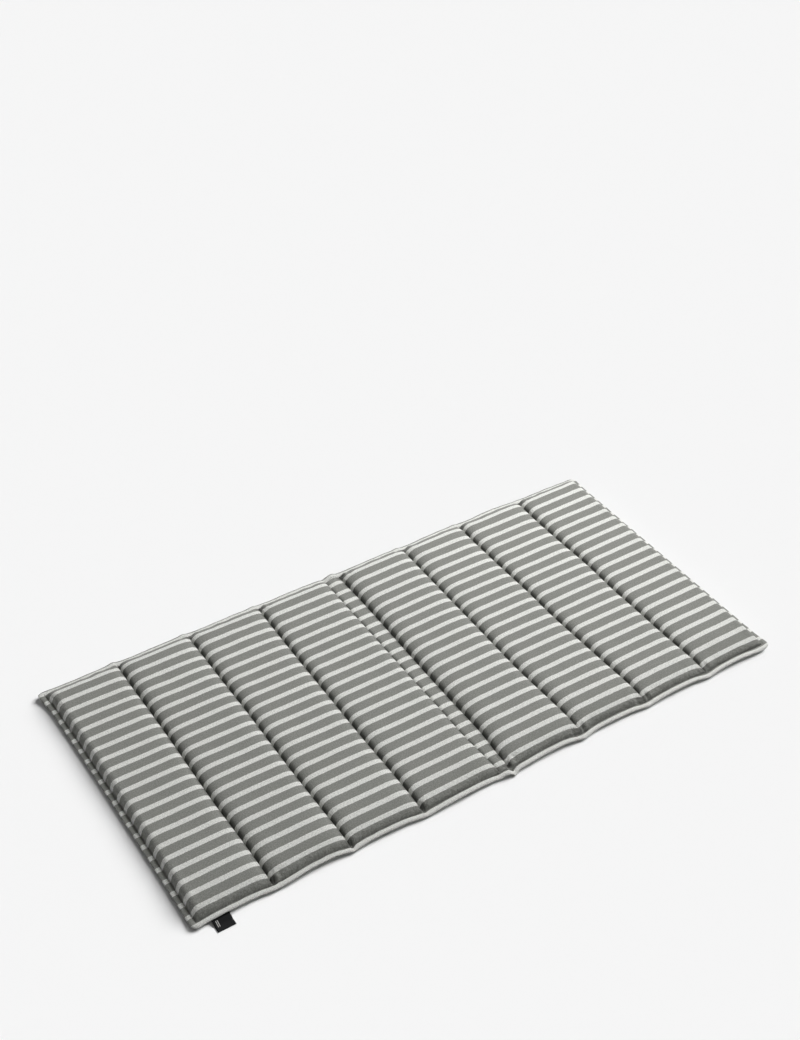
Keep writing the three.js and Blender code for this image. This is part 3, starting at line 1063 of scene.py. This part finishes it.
def label_path(root_height, reach):
    """Distance out and height along the tape's middle, over the top layer, round the fold and back."""
    offset = (TAPE_THICKNESS + LAYER_GAP) / 2
    out = np.linspace(0, reach - offset - TAPE_THICKNESS / 2, LABEL_STEPS_ALONG)
    upper = np.stack([out, label_height(out, root_height) + offset], axis=1)
    turn = np.linspace(np.pi / 2, -np.pi / 2, FOLD_STEPS)[1:-1]
    tip_height = label_height(out[-1:], root_height) + offset * np.sin(turn)
    tip = np.stack([out[-1] + offset * np.cos(turn), tip_height], axis=1)
    lower = np.stack([out, label_height(out, root_height) - offset], axis=1)[::-1]
    return np.concatenate([upper, tip, lower])


def fold_label():
    """The folded label, its width, and the length of tape that it is cut from."""
    width = (label_high.x - label_low.x) / MM
    reach = (label_high.y - label_low.y) / MM
    path = label_path(LABEL_ROOT_HEIGHT, reach)
    steps = np.concatenate([[0], np.cumsum(np.hypot(*np.diff(path, axis=0).T))])
    across = np.linspace(0, width, LABEL_STEPS_ACROSS + 1)
    points, places = [], []
    for (out, height), run in zip(path, steps):
        curl = LABEL_CURL * smooth(out / reach) * (across / width) ** 2
        for x, lift in zip(across, curl):
            points.append((label_low.x + x * MM, label_high.y - out * MM, (height + lift) * MM))
            places.append((x * MM, run * MM))
    count = LABEL_STEPS_ACROSS + 1
    first = [j * count + i for j in range(len(path) - 1) for i in range(LABEL_STEPS_ACROSS)]
    faces = [(k, k + count, k + count + 1, k + 1) for k in first]
    label = new_piece("woven_label_tape", points, faces)
    layer = label.data.uv_layers.new(name="tape")
    flat = np.array(places)[np.array(faces).ravel()]
    layer.uv.foreach_set("vector", flat.astype(np.float32).ravel())
    thick = label.modifiers.new("tape_thickness", "SOLIDIFY")
    thick.thickness = TAPE_THICKNESS * MM
    thick.offset = 0.0
    apply_modifiers(label)
    return label, width, steps[-1]


label, label_width, tape_length = fold_label()
print(f"label {label_width:.0f} mm wide, cut from {tape_length:.1f} mm of tape")

# %% [markdown]
# Woven tape has fine ribs across it. Two plain white dashes are woven into it near one edge, in the slightly
# grey white that such tape has. We could cut them as small pieces of their own, but woven marks lie in the
# cloth, so they are a change of colour in the material, with a trace of height.

# %% Black tape
DASHES = table(
    "left right start end",
    (4.2, 5.3, 8.0, 18.0),
    (6.6, 7.7, 8.0, 18.0),
)
DASH_EDGE = 0.1
RIB_PITCH = 0.5
RIB_HEIGHT = 0.6
DASH_HEIGHT = 0.8
TAPE_RELIEF = 0.00012
TAPE_SCALE = 2500.0
TAPE_DARK = (0.003, 0.0035, 0.004, 1.0)
TAPE_BLACK = (0.010, 0.0105, 0.012, 1.0)
DASH_WHITE = (0.62, 0.62, 0.60, 1.0)


def between(n, place, low, high):
    """1 from low to high and 0 outside."""
    starts = n.step(place, low - DASH_EDGE, low + DASH_EDGE)
    return n.math("MULTIPLY", starts, n.step(place, high + DASH_EDGE, high - DASH_EDGE))


def black_tape():
    """The label's tape, with its two woven dashes."""
    n = Nodes("black_tape")
    tape, across, along = n.flat_places("tape")
    marked = 0.0
    for dash in DASHES:
        in_width = between(n, across, dash["left"], dash["right"])
        in_length = between(n, along, dash["start"], dash["end"])
        marked = n.math("MAXIMUM", marked, n.math("MULTIPLY", in_width, in_length))
    black = n.blend(n.noise(tape, TAPE_SCALE), TAPE_DARK, TAPE_BLACK)
    colour = n.blend(marked, black, DASH_WHITE)
    ribs = n.math("ABSOLUTE", n.wave(along, RIB_PITCH))
    height = n.math("ADD", n.math("MULTIPLY", ribs, RIB_HEIGHT), n.math("MULTIPLY", marked, DASH_HEIGHT))
    return n.shade(Base_Color=colour, Normal=n.bump(height, TAPE_RELIEF), Roughness=0.7, Sheen_Weight=0.08,
                   Specular_IOR_Level=0.2)


label.data.materials.clear()
label.data.materials.append(black_tape())
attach(label, "root")
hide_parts("woven_label")
print(f"{len(DASHES)} dashes on the label")

# %% [markdown]
# The cushion lies on a plain pale floor in soft studio light. A soft box stands at the back right, so the
# near and left walls are in shade and the cloth gets paler toward it. The floor of such a picture is even
# all over, which one lamp can't do for both, so the soft box lights the cushion only, and a wide soft sun
# from the same side lights the floor and casts the faint shadow beside the left end. A plain round wall far
# away closes the scene for low views. Only the camera sees it, so it doesn't fill the shadows.

# %% Floor and light
FLOOR_SIZE = 60.0
FLOOR_COLOUR = (0.90, 0.90, 0.90, 1.0)
BACKDROP_RADIUS = 28.0
BACKDROP_FOOT = -0.01
BACKDROP_HEIGHT = 40.0
BACKDROP_SIDES = 96
BACKDROP_COLOUR = (0.913, 0.913, 0.913, 1.0)
SKY_STRENGTH = 0.20
SKY_SIDE = Vector((0.85, -0.10, 0.0))
SKY_DIFFERENCE = 1.0
SUN_STRENGTH = 4.42
SUN_PLACE = Vector((1.8, 0.15, 1.3))
SUN_SOFTNESS = math.radians(34)
SOFT_BOX_PLACE = Vector((1.15, 0.9, 2.1))
SOFT_BOX_SIZE = 1.1
SOFT_BOX_POWER = 60.0


def add_floor():
    """A large pale floor under the cushion."""
    half = FLOOR_SIZE / 2
    corners = [(-half, -half, 0), (half, -half, 0), (half, half, 0), (-half, half, 0)]
    floor = new_piece("floor", corners, [(0, 1, 2, 3)])
    n = Nodes("pale_floor")
    floor.data.materials.append(n.shade(Base_Color=FLOOR_COLOUR, Roughness=1.0, Specular_IOR_Level=0.0))
    return floor


def add_backdrop():
    """A round pale wall far away, which is seen in low views and lights nothing."""
    turns = [2 * math.pi * k / BACKDROP_SIDES for k in range(BACKDROP_SIDES)]
    points = [(BACKDROP_RADIUS * math.cos(t), BACKDROP_RADIUS * math.sin(t), z)
              for z in (BACKDROP_FOOT, BACKDROP_HEIGHT) for t in turns]
    faces = []
    for k in range(BACKDROP_SIDES):
        after = (k + 1) % BACKDROP_SIDES
        faces.append((after, k, k + BACKDROP_SIDES, after + BACKDROP_SIDES))
    backdrop = new_piece("backdrop", points, faces)
    n = Nodes("pale_backdrop")
    glow = n.shade(Base_Color=(0, 0, 0, 1), Specular_IOR_Level=0.0, Roughness=1.0,
                   Emission_Color=BACKDROP_COLOUR, Emission_Strength=1.0)
    backdrop.data.materials.append(glow)
    backdrop.visible_diffuse = False
    backdrop.visible_glossy = False
    backdrop.visible_shadow = False
    return backdrop


def add_lamp(name, kind, place, lit, **settings):
    """A lamp that points at the cushion and lights only the pieces named in lit."""
    data = bpy.data.lights.new(name, kind)
    for key, value in settings.items():
        setattr(data, key, value)
    lamp = bpy.data.objects.new(name, data)
    lamp.location = place
    lamp.rotation_euler = place.to_track_quat("Z", "Y").to_euler()
    bpy.context.scene.collection.objects.link(lamp)
    receivers = bpy.data.collections.new(name + "_lights")
    for piece in lit:
        receivers.objects.link(piece)
    lamp.light_linking.receiver_collection = receivers
    return lamp


def add_sky():
    """A pale sky that is brighter on the soft box's side and darker on the other."""
    world = bpy.data.worlds.new("pale_sky")
    bpy.context.scene.world = world
    world.use_nodes = True
    tree = world.node_tree
    background = tree.nodes["Background"]
    background.inputs["Color"].default_value = (1.0, 1.0, 1.0, 1.0)
    place = tree.nodes.new("ShaderNodeTexCoord")
    toward = tree.nodes.new("ShaderNodeVectorMath")
    toward.operation = "DOT_PRODUCT"
    toward.inputs[1].default_value = SKY_SIDE
    strength = tree.nodes.new("ShaderNodeMath")
    strength.operation = "MULTIPLY_ADD"
    strength.inputs[1].default_value = SKY_STRENGTH * SKY_DIFFERENCE
    strength.inputs[2].default_value = SKY_STRENGTH
    tree.links.new(place.outputs["Generated"], toward.inputs[0])
    tree.links.new(toward.outputs["Value"], strength.inputs[0])
    tree.links.new(strength.outputs[0], background.inputs["Strength"])


floor = add_floor()
add_backdrop()
pieces = [cushion, stitches, label]
add_lamp("soft_box", "AREA", SOFT_BOX_PLACE, pieces, energy=SOFT_BOX_POWER, size=SOFT_BOX_SIZE)
add_lamp("soft_sun", "SUN", SUN_PLACE, [floor], energy=SUN_STRENGTH, angle=SUN_SOFTNESS)
add_sky()
bpy.context.scene.view_settings.view_transform = "Standard"
print("floor and light are in")
